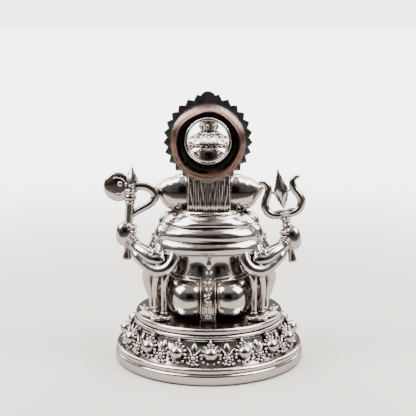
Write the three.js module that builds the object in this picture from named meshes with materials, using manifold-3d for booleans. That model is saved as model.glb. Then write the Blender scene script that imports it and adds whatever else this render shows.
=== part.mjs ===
// A cast and silver-plated statuette: a seated, four-armed figure with an elephant's head, on a round pedestal.
// Millimetres, +Z up. The figure faces -Y, its left side is +X, and the origin is the centre of the underside.
// The castings are the pedestal, the figure, the rayed halo behind the crown, the axe and the trident.

import * as THREE from "three";
import { mergeVertices } from "three/addons/utils/BufferGeometryUtils.js";
import Module from "manifold-3d";

const wasm = await Module();
wasm.setup();

// Driving dimensions
const FIT_GAP = 0.3; // air left between two castings that touch
const PLINTH_RADIUS = 38;
const SEAT_HEIGHT = 19.6; // top of the pedestal's slab
const SLAB_RADIUS = 29.7;
const FRIEZE_BAYS = 16;
const FRIEZE_TURN = Math.PI / 2 + 0.02; // one ball stands almost in the middle of the back
const FRIEZE_BALL_RADIUS = 2.7;
const FRIEZE_BALL_RING = 33; // how far the balls stand from the axis
const FRIEZE_BALL_HEIGHT = 10.6;

const HIP_HALF_WIDTH = 17.6;
const STRIP_HALF_WIDTH = 3.1;
const STRIP_TOP = 36.4;
const BELT_HEIGHT = 34.6;
const WAIST_HALF_WIDTH = 15;
const SHAWL_HEM = 45.6;
const SHAWL_TOP = 61.2;
const SHAWL_HALF_WIDTH = 23.4;
const SHAWL_DEPTH_SHARE = 0.68; // the shoulders are this much shallower than they are wide
const SHAWL_ROLLS = 4;
const HEAD_HEIGHT = 72;
const EAR_REACH = 21.9; // from the middle to an ear's tip
const EAR_TIP_HEIGHT = 68.8;
const EAR_FOOT = 59.2;
const LOCKS = 7;
const LOCKS_HALF_WIDTH = 8.2;
const CROWN_FOOT = 79;
const CROWN_TIP = 103.5;

const HALO_CENTRE = 89.9; // height of the collar's axis
const HALO_RADIUS = 15.7; // to the valleys between the rays
const HALO_RAYS = 27;
const HALO_RAY_LENGTH = 1.3;
const HALO_TOP_RAY_LENGTH = 2.7;
const HALO_CREST_RADIUS = 12.7;
const HALO_CREST_SAG = 1.5; // the crest hangs this much lower than the collar
const HALO_DRIFT = 0.4; // the disc sits this much to the left of its collar
const HALO_COLLAR_RADIUS = 8.8;
const HALO_COLLAR_WALL = 1;
const HALO_FRONT = 10.4; // y of the collar's front rim
const HALO_BACK = 17.6; // y of the collar's rear lip

const HAND_DEPTH = 3.6; // y of the two raised fists and of what they hold
const AXE_SHAFT = { foot: [32.8, HAND_DEPTH, 40.6], lean: -0.068, length: 29, radius: 1.8 };
const TRIDENT_SHAFT = { foot: [-33.5, HAND_DEPTH, 39.6], lean: 0.176, length: 20.6, radius: 1.65 };
const AXE_HAND_HEIGHT = 51.5;
const TRIDENT_HAND_HEIGHT = 49.8;

// Finish of each casting
const SILVER = { color: 0xcfc8c2, roughness: 0.16, metalness: 1 };
const TARNISHED = { color: 0x9a8f8a, roughness: 0.26, metalness: 1 };

const sides = [1, -1]; // the figure's left and right
const lerp = THREE.MathUtils.lerp;

// A closed geometry as a solid that can be joined and cut, with its faces turned outwards
function solidOf(geometry) {
  const loose = geometry.index ? geometry.toNonIndexed() : geometry;
  const bare = new THREE.BufferGeometry();
  bare.setAttribute("position", loose.getAttribute("position"));
  const merged = mergeVertices(bare, 1e-4);
  const corner = (n) => new THREE.Vector3().fromBufferAttribute(merged.attributes.position, n);
  const triangles = [];
  let volume = 0;
  for (let i = 0; i < merged.index.count; i += 3) {
    const [p, q, r] = [0, 1, 2].map((k) => merged.index.getX(i + k));
    if (p === q || q === r || r === p) continue;
    triangles.push([p, q, r]);
    volume += corner(p).dot(corner(q).cross(corner(r)));
  }
  const facing = volume < 0 ? triangles.map(([p, q, r]) => [p, r, q]) : triangles;
  return new wasm.Manifold(
    new wasm.Mesh({
      numProp: 3,
      vertProperties: merged.attributes.position.array,
      triVerts: new Uint32Array(facing.flat()),
    }),
  );
}

const join = (...solids) => solids.flat(Infinity).reduce((all, next) => all.add(next));

// An ellipsoid
function ball([x, y, z], [rx, ry, rz], turns = 10, rows = 6) {
  const round = new THREE.SphereGeometry(1, turns, rows).rotateX(Math.PI / 2);
  return solidOf(round.scale(rx, ry, rz).translate(x, y, z));
}

// A geometry turned about the Z axis from a profile of [radius, height] points
function turned(profile, turns) {
  const points = profile.map(([r, z]) => new THREE.Vector2(r, z));
  return new THREE.LatheGeometry(points, turns).rotateX(Math.PI / 2);
}

// A round bar along a smooth curve through points of [x, y, z, radius]
function bar(points, steps = 4, facets = 6) {
  const thread = 0.05; // the bar is first swept this thin, which keeps its rings apart
  const curve = new THREE.CatmullRomCurve3(points.map(([x, y, z]) => new THREE.Vector3(x, y, z)));
  const section = new THREE.Shape();
  section.absarc(0, 0, thread, 0, 2 * Math.PI);
  const swept = new THREE.ExtrudeGeometry(section, {
    steps,
    curveSegments: facets / 2,
    bevelEnabled: false,
    extrudePath: curve,
  });
  const rings = curve.getSpacedPoints(steps);
  const radii = rings.map((_, k) => radiusAlong(points, curve, k / steps));
  const at = swept.getAttribute("position");
  const p = new THREE.Vector3();
  for (let i = 0; i < at.count; i += 1) {
    p.fromBufferAttribute(at, i);
    const gaps = rings.map((ring) => ring.distanceToSquared(p));
    const k = gaps.indexOf(Math.min(...gaps));
    p.sub(rings[k]).multiplyScalar(radii[k] / thread).add(rings[k]);
    at.setXYZ(i, p.x, p.y, p.z);
  }
  return solidOf(swept);
}

// The radius that a bar's points call for at a share of its length
function radiusAlong(points, curve, share) {
  const t = curve.getUtoTmapping(share) * (points.length - 1);
  const k = Math.min(Math.floor(t), points.length - 2);
  return lerp(points[k][3], points[k + 1][3], t - k);
}

// The same bar on the figure's left (side 1) or right (side -1)
function sideBar(side, points, steps, facets) {
  return bar(points.map(([x, y, z, r]) => [side * x, y, z, r]), steps, facets);
}

// A box big enough to cut away everything on one side of a plane
function beyond(axis, limit, sign) {
  const reach = 200;
  const middle = new THREE.Vector3();
  middle[axis] = limit + (sign * reach) / 2;
  return solidOf(new THREE.BoxGeometry(reach, reach, reach).translate(middle.x, middle.y, middle.z));
}

// Pedestal: a plain band and lip, a sloping frieze of balls and leaves, and a slab with two round mouldings

function pedestal() {
  const slabFoot = 15.2;
  const profile = [
    [0, 0],
    [PLINTH_RADIUS, 0],
    [PLINTH_RADIUS, 4.4],
    [PLINTH_RADIUS - 0.8, 5],
    [PLINTH_RADIUS - 1, 6.7],
    [PLINTH_RADIUS - 3.2, 6.7],
    [SLAB_RADIUS + 0.1, slabFoot + 0.2],
    [SLAB_RADIUS + 0.2, slabFoot + 1.5],
    [SLAB_RADIUS - 0.7, slabFoot + 2],
    [SLAB_RADIUS, slabFoot + 2.9],
    [SLAB_RADIUS - 0.7, SEAT_HEIGHT],
    [0, SEAT_HEIGHT],
  ];
  return join(solidOf(turned(profile, 2 * FRIEZE_BAYS)), frieze());
}

function frieze() {
  const bayAngle = (2 * Math.PI) / FRIEZE_BAYS;
  const bays = Array.from({ length: FRIEZE_BAYS }, (_, bay) => {
    const around = (ring, height, offset) => {
      const angle = (bay + offset) * bayAngle + FRIEZE_TURN;
      return [ring * Math.cos(angle), ring * Math.sin(angle), height];
    };
    const r = FRIEZE_BALL_RADIUS;
    return [
      ball(around(FRIEZE_BALL_RING, FRIEZE_BALL_HEIGHT, 0), [r, r, r], 6, 4),
      ball(around(FRIEZE_BALL_RING - 2.4, 13.4, 0.5), [2.1, 2.1, 2.6], 4, 2),
    ];
  });
  return join(bays);
}

// Seat: two round lobes, the strip of cloth between them and the double belt

function seat() {
  const lobes = sides.map((s) => ball([s * 8.4, 8.2, 27.4], [9, 11.6, 8.2]));
  const hips = ball([0, 1.5, 28], [HIP_HALF_WIDTH, 13, 8.8]);
  return join(hips, lobes, strip(), belt());
}

function strip() {
  const foot = SEAT_HEIGHT - 1;
  const sideView = [
    [4, foot],
    [20.2, foot],
    [20.7, 24],
    [20.5, 29],
    [18.4, 32.8],
    [15.6, 34.8],
    [14.9, STRIP_TOP],
    [4, STRIP_TOP],
  ];
  const outline = new THREE.Shape(sideView.map(([y, z]) => new THREE.Vector2(y, z)));
  const fall = new THREE.ExtrudeGeometry(outline, {
    depth: 2 * STRIP_HALF_WIDTH,
    bevelEnabled: false,
  });
  // the outline's own x and y become the figure's y and z
  fall.rotateX(Math.PI / 2).rotateZ(Math.PI / 2);
  return solidOf(fall.translate(-STRIP_HALF_WIDTH, 0, 0));
}

function belt() {
  const cord = 0.8;
  const [low, high] = [BELT_HEIGHT - 2 * cord, BELT_HEIGHT + 2 * cord];
  const inner = WAIST_HALF_WIDTH - 4;
  const profile = [
    [inner, low],
    [WAIST_HALF_WIDTH + 0.6, BELT_HEIGHT - cord],
    [WAIST_HALF_WIDTH - 0.1, BELT_HEIGHT],
    [WAIST_HALF_WIDTH + 0.6, BELT_HEIGHT + cord],
    [inner, high],
    [inner, low],
  ];
  return solidOf(turned(profile, 14).scale(1, 0.92, 1).translate(0, 0.4, 0));
}

// Torso, and the shawl over the back and shoulders, drawn into soft horizontal rolls

function torso() {
  return join(
    ball([0, 1, 41], [WAIST_HALF_WIDTH, 13, 16], 10, 7),
    ball([0, -6.5, 40.5], [16.2, 15.2, 13.6], 12, 7),
    ball([0, -1.5, 54], [14.5, 9.5, 8.5], 8, 4),
  );
}

function shawl() {
  const height = SHAWL_TOP - SHAWL_HEM;
  const across = (z) => SHAWL_HALF_WIDTH * Math.sqrt(1 - ((z - SHAWL_HEM) / (1.1 * height)) ** 2);
  const profile = [[0, SHAWL_HEM - 0.9], [across(SHAWL_HEM) - 0.8, SHAWL_HEM - 0.9]];
  for (let roll = 0; roll < SHAWL_ROLLS; roll += 1) {
    for (const [share, inset] of [[0.1, 0.9], [0.55, -0.2]]) {
      const z = SHAWL_HEM + (height * (roll + share)) / SHAWL_ROLLS;
      profile.push([across(z) - inset, z]);
    }
  }
  profile.push([across(SHAWL_TOP) - 1, SHAWL_TOP], [0, SHAWL_TOP]);
  const cape = solidOf(turned(profile, 20).scale(1, SHAWL_DEPTH_SHARE, 1).translate(0, 1, 0));
  return cape.subtract(beyond("y", -6, -1));
}

// A raised rear arm leaves the shawl, bends at the elbow and lifts its fist to the side

function rearArm(side) {
  const [shaft, height] = side > 0 ? [AXE_SHAFT, AXE_HAND_HEIGHT] : [TRIDENT_SHAFT, TRIDENT_HAND_HEIGHT];
  return join(
    sideBar(side, [[17.5, 8, 50, 3.4], [20.6, 10.8, 42.8, 3.1]], 1, 6),
    sideBar(
      side,
      [[19.6, 11, 42.4, 3.2], [25, 9, 44.4, 3.1], [29.2, 6.6, 46.8, 2.4], [31.6, 5, 49.4, 2.6]],
      3,
      6,
    ),
    ball([side * 20.6, 10.8, 42.6], [3.4, 3.3, 3.4], 6, 4),
    shawlEdge(side),
    fist(side, shaftAt(shaft, height)),
  ).subtract(shaftHole(shaft));
}

// The shawl's edge passes under the elbow and runs up the forearm
function shawlEdge(side) {
  return sideBar(
    side,
    [
      [13.6, 12.2, 46, 1.9],
      [15.4, 13.8, 41.6, 2.1],
      [20, 13.6, 39.4, 2.2],
      [25.6, 10.6, 41.8, 2.1],
      [29.4, 7.4, 45, 1.4],
    ],
    6,
    5,
  );
}

// A closed hand is turned round the shaft, with a rib for each of its four fingers
function fist(side, [x, y, z]) {
  const fingers = 4;
  const [height, grip] = [7.6, 3.3];
  const profile = [[0, -height / 2]];
  for (let n = 0; n < fingers; n += 1) {
    const foot = (n / fingers - 0.5) * height;
    profile.push([grip - 0.6, foot + 0.2], [grip, foot + height / fingers / 2]);
  }
  profile.push([grip - 0.8, height / 2], [0, height / 2]);
  const hand = turned(profile, 7).scale(1.1, 1.15, 1).rotateY(side * -0.1);
  return solidOf(hand.translate(x + side * 0.5, y, z - 0.2));
}

// Where a leaning shaft's middle is at a height
function shaftAt({ foot: [x, y, z], lean }, height) {
  return [x + lean * (height - z), y, height];
}

function shaftHole(shaft) {
  const r = shaft.radius + FIT_GAP;
  return bar([[...shaftAt(shaft, 30), r], [...shaftAt(shaft, 64), r]], 1, 8);
}

// The right front hand is raised in blessing, and the left one holds a bowl of sweets

function frontArms() {
  const upperArms = sides.map((s) =>
    sideBar(s, [[16.4, -2, 52, 3.6], [20.6, -3, 45, 3.5], [20.6, -4, 39.4, 3.1]], 2, 6),
  );
  return join(upperArms, blessingHand(), offeringHand());
}

function blessingHand() {
  const [palmFoot, fingerFoot, fingerWidth] = [43.4, 47.2, 1.5];
  const left = -20.2;
  const corners = [[left + 1, palmFoot], [left, fingerFoot]];
  for (const [n, tip] of [50.2, 51.4, 51.6, 50.8].entries()) {
    const x = left + n * fingerWidth;
    corners.push([x, tip - 0.8], [x + fingerWidth / 2, tip], [x + fingerWidth, fingerFoot + 1]);
  }
  corners.push([-12.6, 46.6], [-13.4, 45], [-15.4, palmFoot]);
  const outline = new THREE.Shape(corners.map(([x, z]) => new THREE.Vector2(x, z)));
  const palm = new THREE.ExtrudeGeometry(outline, { depth: 1.9, bevelEnabled: false });
  return join(
    bar([[-20.6, -4, 39.4, 3.1], [-20.6, -10.6, 39.4, 2.7], [-17.4, -18.4, 43, 2.1]], 2, 6),
    solidOf(palm.rotateX(Math.PI / 2).translate(0, -17.6, 0)),
  );
}

function offeringHand() {
  const [x, y, z] = [14.8, -20.4, 38.4];
  const dish = [[0, 0], [2, 0], [3.4, 1], [4.1, 2.8], [3.4, 3.6], [0, 5.6]];
  return join(
    bar([[20.6, -4, 39.4, 3.1], [19.8, -11, 37.6, 2.7], [16.6, -18, 37, 2.1]], 2, 6),
    ball([x, y + 0.4, z - 1], [3.3, 3.2, 1.6], 6, 4),
    solidOf(turned(dish, 9).translate(x, y, z)),
  );
}

// Legs folded in front, with a foot under each shin

function legs() {
  return join(
    sides.map((s) => [
      sideBar(s, [[10, 1, 28, 7.2], [17, -5, 28, 7.4], [20.4, -9.4, 27.2, 5.8]], 2, 8),
      sideBar(s, [[19.6, -11, 26.6, 5.4], [11, -17.4, 24.8, 4.6], [2.4, -20.8, 24, 3.4]], 2, 6),
      sideBar(s, [[3.6, -20.6, 24, 2.8], [-3.6, -22.2, 23.6, 2.6], [-9.4, -21.6, 23.4, 2.2]], 2, 6),
    ]),
  );
}

// The shawl's two ends hang in tubular folds from the elbows and fan out on the slab

function hangingFolds(side) {
  const folds = [
    [[16.6, 13.4, 39.4, 2.4], [18, 14.2, 31, 1.7], [17.6, 15.2, 21, 1.6]],
    [[20.6, 12, 39, 2.8], [22, 11.6, 31, 1.8], [20.6, 12.6, 21, 1.6]],
    [[24, 7, 38.4, 3.2], [24.6, 6, 31.6, 2.6], [22.8, 8.6, 21, 1.8]],
  ].map((fold) => sideBar(side, fold, 2, 6));
  const tuftHeight = 2.4;
  const tufts = [[18.6, 16.6, 6], [24.2, 11, -46]].map(([x, y, turn]) => {
    const tuft = new THREE.CylinderGeometry(2.2, 3.3, tuftHeight, 4).rotateX(Math.PI / 2);
    tuft.rotateZ(Math.PI / 4).scale(1.3, 1, 1).rotateZ(THREE.MathUtils.degToRad(turn));
    return solidOf(tuft.translate(x, y, SEAT_HEIGHT + tuftHeight / 2).scale(side, 1, 1));
  });
  const knee = ball([side * 20.4, -1.6, 31.4], [6.6, 10.4, 9.4], 8, 6);
  return join(folds, tufts, knee);
}

// Head: skull, brow, cheeks, trunk with one whole and one broken tusk, ears, locks of hair and crown

function head() {
  const trunk = bar(
    [
      [0, -8, 72, 5.8],
      [0, -15.4, 68, 5],
      [0, -20.4, 60.6, 4.1],
      [0.6, -24, 51.4, 3.3],
      [4, -26.2, 43.6, 2.8],
      [9, -26.6, 41.6, 2.4],
      [12.6, -25, 44.6, 1.9],
    ],
    8,
    8,
  );
  return join(
    ball([0, -2, HEAD_HEIGHT], [10.4, 11, 10.6], 10, 7),
    sides.map((s) => ball([s * 4.2, -7.2, 77], [5.2, 5, 5.2], 7, 5)),
    sides.map((s) => ball([s * 5.6, -8.6, 68], [5, 5.6, 5.4], 7, 5)),
    bar([[-4.4, -13, 65.8, 1.7], [-6.2, -18, 62.8, 1.3], [-7, -21.4, 63.2, 0.5]], 2, 5),
    bar([[4.4, -13, 65.8, 1.7], [5.8, -16.8, 63.4, 1.4]], 1, 5),
    trunk,
    sides.map(ear),
    locks(),
    crown(),
  );
}

// A broad ear that runs out to a point: full at the back and hollow in front
function ear(side) {
  const outline = new THREE.Path();
  outline.moveTo(6, 74);
  outline.quadraticCurveTo(15.4, 75.2, EAR_REACH, EAR_TIP_HEIGHT);
  outline.quadraticCurveTo(18.4, 62.6, 13, EAR_FOOT);
  outline.lineTo(6, EAR_FOOT + 1);
  const [front, back] = [-7, 5];
  const corners = outline.getPoints(3).map((p) => new THREE.Vector2(side * p.x, p.y));
  const leaf = new THREE.ExtrudeGeometry(new THREE.Shape(corners), {
    depth: back - front,
    bevelEnabled: false,
  });
  // the outline's own y becomes the figure's z
  const block = solidOf(leaf.rotateX(Math.PI / 2).translate(0, back, 0));
  const fullBack = ball([side * 12.4, -1, 68.2], [10.6, 4.6, 9.8], 8, 6);
  const hollow = ball([side * 14.4, -6.4, 67.6], [6.4, 4.4, 6.6], 6, 4);
  return block.intersect(fullBack).subtract(hollow);
}

// Locks of hair that hang in a block from the crown to the shawl
function locks() {
  const [foot, top, front, back] = [60.4, 80, -3, 10.6];
  const spacing = (2 * LOCKS_HALF_WIDTH) / LOCKS;
  const corners = [[-LOCKS_HALF_WIDTH, front]];
  for (let n = 0; n < LOCKS; n += 1) {
    const x = n * spacing - LOCKS_HALF_WIDTH;
    const middle = x + spacing / 2;
    const bow = back - 0.02 * middle * middle;
    corners.push([x, bow - 0.8], [middle - spacing / 4, bow], [middle + spacing / 4, bow]);
  }
  corners.push([LOCKS_HALF_WIDTH, back - 2.2], [LOCKS_HALF_WIDTH, front]);
  const outline = new THREE.Shape(corners.map(([x, y]) => new THREE.Vector2(x, y)));
  const block = new THREE.ExtrudeGeometry(outline, { depth: top - foot, bevelEnabled: false });
  return solidOf(block.translate(0, 0, foot));
}

// A tall crown of shrinking tiers that ends in a small vase
function crown() {
  const profile = [
    [0, -0.1],
    [10.7, -0.04],
    [10.7, 0.1],
    [9.6, 0.15],
    [9.2, 0.4],
    [6.4, 0.46],
    [3.2, 0.54],
    [4.2, 0.68],
    [2, 0.73],
    [2.8, 0.82],
    [0.8, 0.91],
    [0, 1],
  ].map(([r, share]) => [r, lerp(CROWN_FOOT, CROWN_TIP, share)]);
  return solidOf(turned(profile, 12).translate(0, -1, 0));
}

function figure() {
  const whole = join(
    seat(),
    torso(),
    shawl(),
    sides.map(rearArm),
    frontArms(),
    legs(),
    sides.map(hangingFolds),
    head(),
  );
  return whole.subtract(beyond("z", SEAT_HEIGHT + FIT_GAP, -1));
}

// Halo: a dished, rayed disc carried on a short collar behind the crown, drawn round its own axis, the Y axis

function halo() {
  const inner = HALO_COLLAR_RADIUS - HALO_COLLAR_WALL;
  const profile = [
    [inner, HALO_FRONT],
    [HALO_COLLAR_RADIUS, HALO_FRONT],
    [HALO_RADIUS, 11.4],
    [HALO_RADIUS, 12.6],
    [HALO_CREST_RADIUS, 15.6],
    [HALO_CREST_RADIUS - 1.2, 14.6],
    [HALO_COLLAR_RADIUS, 13.4],
    [HALO_COLLAR_RADIUS, HALO_BACK],
    [inner, HALO_BACK],
    [inner, HALO_FRONT],
  ];
  const dish = turned(profile, HALO_RAYS).rotateX(-Math.PI / 2);
  const at = dish.getAttribute("position");
  for (let i = 0; i < at.count; i += 1) {
    const fromCrest = Math.abs(Math.hypot(at.getX(i), at.getZ(i)) - HALO_CREST_RADIUS);
    const share = Math.max(0, 1 - fromCrest / (HALO_RADIUS - HALO_CREST_RADIUS));
    at.setZ(i, at.getZ(i) - HALO_CREST_SAG * share);
    if (Math.hypot(at.getX(i), at.getZ(i)) > HALO_COLLAR_RADIUS + 1) at.setX(i, at.getX(i) + HALO_DRIFT);
  }
  return join(solidOf(dish), Array.from({ length: HALO_RAYS }, (_, n) => ray(n)));
}

function ray(n) {
  const bayHalf = (Math.PI * HALO_RADIUS) / HALO_RAYS;
  const [half, length] = n === 0 ? [1.6 * bayHalf, HALO_TOP_RAY_LENGTH] : [bayHalf, HALO_RAY_LENGTH];
  const root = 0.9; // how deep a ray is set into the disc
  const corners = [[-half, -root], [half, -root], [0, length]];
  const outline = new THREE.Shape(corners.map(([x, y]) => new THREE.Vector2(x, y)));
  const thickness = 0.9;
  const blade = new THREE.ExtrudeGeometry(outline, { depth: thickness, bevelEnabled: false });
  blade.rotateX(Math.PI / 2).translate(0, 12.4, HALO_RADIUS);
  return solidOf(blade.rotateY((n * 2 * Math.PI) / HALO_RAYS).translate(HALO_DRIFT, 0, 0));
}

// Axe, drawn with its shaft up the Z axis: a spear point, a round blade to the outside and a hook to the inside

function axe() {
  const { radius, length } = AXE_SHAFT;
  const point = new THREE.ConeGeometry(2.8, 9.4, 6).rotateX(Math.PI / 2).scale(1, 0.7, 1);
  const hook = [
    [0.6, 0, 30.8, 1],
    [-4, -0.3, 31, 1.3],
    [-8.8, -0.6, 29.4, 1.5],
    [-10.4, -0.8, 26.6, 1.5],
    [-7.6, -0.6, 22.4, 1.3],
    [-0.6, 0, 17.4, 1.1],
  ];
  return join(
    bar([[0, 0, 0, radius], [0, 0, length, radius]], 1, 8),
    ball([0, 0, length], [2.5, 2.2, 1.9], 6, 4),
    solidOf(point.translate(0, 0, length + 4.6)),
    ball([4.8, 0, 29.2], [5.7, 1.7, 5.8], 6, 8),
    bar(hook, 8, 6),
  );
}

// Trident, drawn with its shaft up the Z axis: a leaf-shaped middle blade between two curling prongs

function trident() {
  const { radius, length } = TRIDENT_SHAFT;
  const blade = turned([[0, 0], [1, 0.6], [2.8, 6.6], [1.5, 10], [0, 16]], 6).scale(1, 0.6, 1);
  const prongs = sides.map((s) =>
    sideBar(
      s,
      [
        [0, 0, length - 1, 1.2],
        [4.6, 0, length - 0.6, 1.3],
        [7.6, 0, length + 3, 1.35],
        [5.4, 0, length + 8, 1.25],
        [4.6, 0, length + 11, 1.1],
        [7, 0, length + 13.2, 0.6],
      ],
      8,
      6,
    ),
  );
  return join(
    bar([[0, 0, 0, radius], [0, 0, length, radius]], 1, 8),
    ball([0, 0, length - 0.4], [2, 2, 1.7], 6, 4),
    solidOf(blade.translate(0, 0, length + 1.6)),
    bar([[-5, 0, length + 9, 0.6], [5, 0, length + 9, 0.6]], 1, 4),
    prongs,
  );
}

// Assembly

function meshOf(name, solid, finish) {
  const { vertProperties, triVerts, numProp } = solid.getMesh();
  const geometry = new THREE.BufferGeometry();
  geometry.setAttribute("position", new THREE.BufferAttribute(vertProperties, numProp));
  geometry.setIndex(new THREE.BufferAttribute(triVerts, 1));
  geometry.computeVertexNormals();
  const mesh = new THREE.Mesh(geometry, new THREE.MeshStandardMaterial(finish));
  mesh.name = name;
  return mesh;
}

// Stands a shaft on its foot and leans it as the fist holds it
function held(mesh, { foot, lean }) {
  mesh.position.set(...foot);
  mesh.rotation.y = Math.atan(lean);
  return mesh;
}

const rayedDisc = meshOf("halo", halo(), TARNISHED);
rayedDisc.position.z = HALO_CENTRE;

const statuette = new THREE.Group();
statuette.add(
  meshOf("pedestal", pedestal(), SILVER),
  meshOf("figure", figure(), SILVER),
  rayedDisc,
  held(meshOf("axe", axe(), SILVER), AXE_SHAFT),
  held(meshOf("trident", trident(), SILVER), TRIDENT_SHAFT),
);

export default statuette;
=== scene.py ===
# A small silver-plated figurine of a seated, four-armed, elephant-headed figure, photographed from behind.
# Sizes are in millimetres until a piece's mesh is finished. Up is +Z, the figure looks along -Y, and its
# left side is +X. Behind it is +Y, where the camera stands.
import math

import bmesh
import bpy
from mathutils import Matrix, Vector, noise


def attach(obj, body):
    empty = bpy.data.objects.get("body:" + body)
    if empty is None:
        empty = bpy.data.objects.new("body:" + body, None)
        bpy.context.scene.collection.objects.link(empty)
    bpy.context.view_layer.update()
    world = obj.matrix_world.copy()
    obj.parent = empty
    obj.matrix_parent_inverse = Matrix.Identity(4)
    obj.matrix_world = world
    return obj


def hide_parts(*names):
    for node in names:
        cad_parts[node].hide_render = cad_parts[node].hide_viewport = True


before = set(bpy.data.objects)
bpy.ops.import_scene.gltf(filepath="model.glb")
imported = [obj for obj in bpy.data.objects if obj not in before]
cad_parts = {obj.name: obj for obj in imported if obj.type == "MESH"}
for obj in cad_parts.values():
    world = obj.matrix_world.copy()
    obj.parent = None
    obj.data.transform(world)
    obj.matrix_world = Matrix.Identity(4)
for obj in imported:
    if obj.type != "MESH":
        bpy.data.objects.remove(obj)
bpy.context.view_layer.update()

# Pedestal
# One round casting in plated white metal: a plain band with a groove and a lip, a sloping frieze of balls in
# leafy cups, and a slab with two round mouldings. Turned in the model, with the frieze cast on, then plated.
MM = 0.001
PEDESTAL_OUTLINE = [
    (0, 0), (0, 0), (37.3, 0), (37.3, 0), (37.8, 0.3), (38, 0.9), (38, 2.6), (37.85, 3.9), (37.5, 4.3), (37.5, 4.3), (37.1, 4.45),
    (37.1, 4.45), (37.5, 4.75), (37.62, 5.4), (37.45, 6.2), (36.9, 6.65), (36.2, 6.7), (35.7, 6.4), (35.7, 6.4),
    (34.9, 6.3), (34.9, 6.3), (29.9, 14.9), (29.9, 14.9), (29.95, 15.3), (30.3, 15.8), (30.35, 16.3), (30, 16.9),
    (29.5, 17.05), (29.5, 17.05), (29.1, 17.2), (29.1, 17.2), (29.6, 17.5), (29.75, 18.2), (29.65, 19), (29.2, 19.5),
    (28.5, 19.6), (27.4, 19.45), (26.6, 19.4), (26.6, 19.4), (0, 19.4), (0, 19.4),
]
PEDESTAL_STEPS = 224
SHARP_ANGLE = math.radians(52)
FRIEZE_BAYS = 16
FRIEZE_TURN = 0.02
FRIEZE_RING = 32.6
FRIEZE_HEIGHT = 10.6
FRIEZE_LEAN = math.atan2(8.7, 5)
BALL_RADIUS = 2.6
BALL_STAND = 1.15
PETAL_ANGLES = [-6, 22, 50, 78, 102, 130, 158, 186]
TUFT_BEADS = 7
CUP_BEADS = [(3.35, -1.5, 0.6, 0.62), (2.6, -2.9, 0.55, 0.66), (1.1, -3.7, 0.4, 0.5), (1.1, 3.5, 1.1, 0.4)]
SILVER = "#CBC3BE"
WARM_SILVER = "#A8948A"
# Brown and black of the recesses: partly patina, partly painted shade.
PATINA_AND_SHADE_BROWN = "#5A463E"
PATINA_AND_SHADE_BLACK = "#0E0B0B"


def to_linear(colour):
    """Linear colour of an sRGB hex value."""
    parts = [int(colour[i:i + 2], 16) / 255 for i in (1, 3, 5)]
    return [p / 12.92 if p <= 0.04045 else ((p + 0.055) / 1.055) ** 2.4 for p in parts] + [1]


def add_node(tree, kind, links=None, **settings):
    """Adds a node, sets its properties, and fills its inputs with values or with other nodes' outputs."""
    node = tree.nodes.new(kind)
    for name, value in settings.items():
        setattr(node, name, value)
    for socket, source in (links or {}).items():
        if isinstance(source, bpy.types.NodeSocket):
            tree.links.new(source, node.inputs[socket])
        else:
            node.inputs[socket].default_value = source
    return node


def slope_at(before, here, after):
    """Direction of a smooth curve at a point; at an end or a corner, of the one side it has."""
    back = here - before
    ahead = after - here
    if not back.length or not ahead.length:
        return (back + ahead).normalized()
    turn = back * (ahead.length / back.length) + ahead * (back.length / ahead.length)
    return turn / (back.length + ahead.length)


def curve_through(points, steps):
    """Points on a smooth curve through the given ones, steps to a gap. A point given twice is a corner."""
    points = [Vector(p) for p in points]
    line = [points[0]]
    for i in range(len(points) - 1):
        here, there = points[i], points[i + 1]
        gap = (there - here).length
        if not gap:
            continue
        leave = slope_at(points[max(i - 1, 0)], here, there) * gap
        arrive = slope_at(here, there, points[min(i + 2, len(points) - 1)]) * gap
        for k in range(1, steps + 1):
            t = k / steps
            line.append(
                here * (2 * t**3 - 3 * t**2 + 1) + leave * (t**3 - 2 * t**2 + t)
                + there * (3 * t**2 - 2 * t**3) + arrive * (t**3 - t**2)
            )
    return line


def turned(outline, steps):
    """A closed shape spun about the upright axis from (radius, height) points."""
    shape = bmesh.new()
    rim = [shape.verts.new((radius, 0, height)) for radius, height in outline]
    edges = [shape.edges.new(pair) for pair in zip(rim, rim[1:])]
    bmesh.ops.spin(
        shape, geom=rim + edges, axis=(0, 0, 1), cent=(0, 0, 0), angle=math.tau, steps=steps, use_merge=True
    )
    bmesh.ops.remove_doubles(shape, verts=shape.verts, dist=0.0005)
    bmesh.ops.recalc_face_normals(shape, faces=shape.faces)
    return shape


def ball(centre, radii, around=24, up=16, square=1):
    """A ball with three radii. A square value under 1 fills it out towards a box."""
    shape = bmesh.new()
    bmesh.ops.create_uvsphere(shape, u_segments=around, v_segments=up, radius=1)
    for vert in shape.verts:
        vert.co = Vector([math.copysign(abs(c) ** square, c) for c in vert.co])
    bmesh.ops.scale(shape, vec=radii, verts=shape.verts)
    bmesh.ops.translate(shape, vec=centre, verts=shape.verts)
    return shape


def put(piece, shape, place=None):
    """Moves a finished shape into place in a piece's mesh."""
    if place:
        bmesh.ops.transform(shape, matrix=place, verts=shape.verts)
        if place.determinant() < 0:
            bmesh.ops.reverse_faces(shape, faces=shape.faces)
    carrier = bpy.data.meshes.new("carrier")
    shape.to_mesh(carrier)
    shape.free()
    piece.from_mesh(carrier)
    bpy.data.meshes.remove(carrier)


def cast(name, shape, finish, stands_for=None):
    """Makes a shape in millimetres into a finished piece of the casting."""
    bmesh.ops.scale(shape, vec=(MM, MM, MM), verts=shape.verts)
    mesh = bpy.data.meshes.new(name)
    shape.to_mesh(mesh)
    shape.free()
    mesh.shade_smooth()
    mesh.set_sharp_from_angle(angle=SHARP_ANGLE)
    mesh.materials.append(finish)
    piece = bpy.data.objects.new(name, mesh)
    bpy.context.collection.objects.link(piece)
    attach(piece, "root")
    if stands_for:
        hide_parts(stands_for)
    return piece
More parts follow.
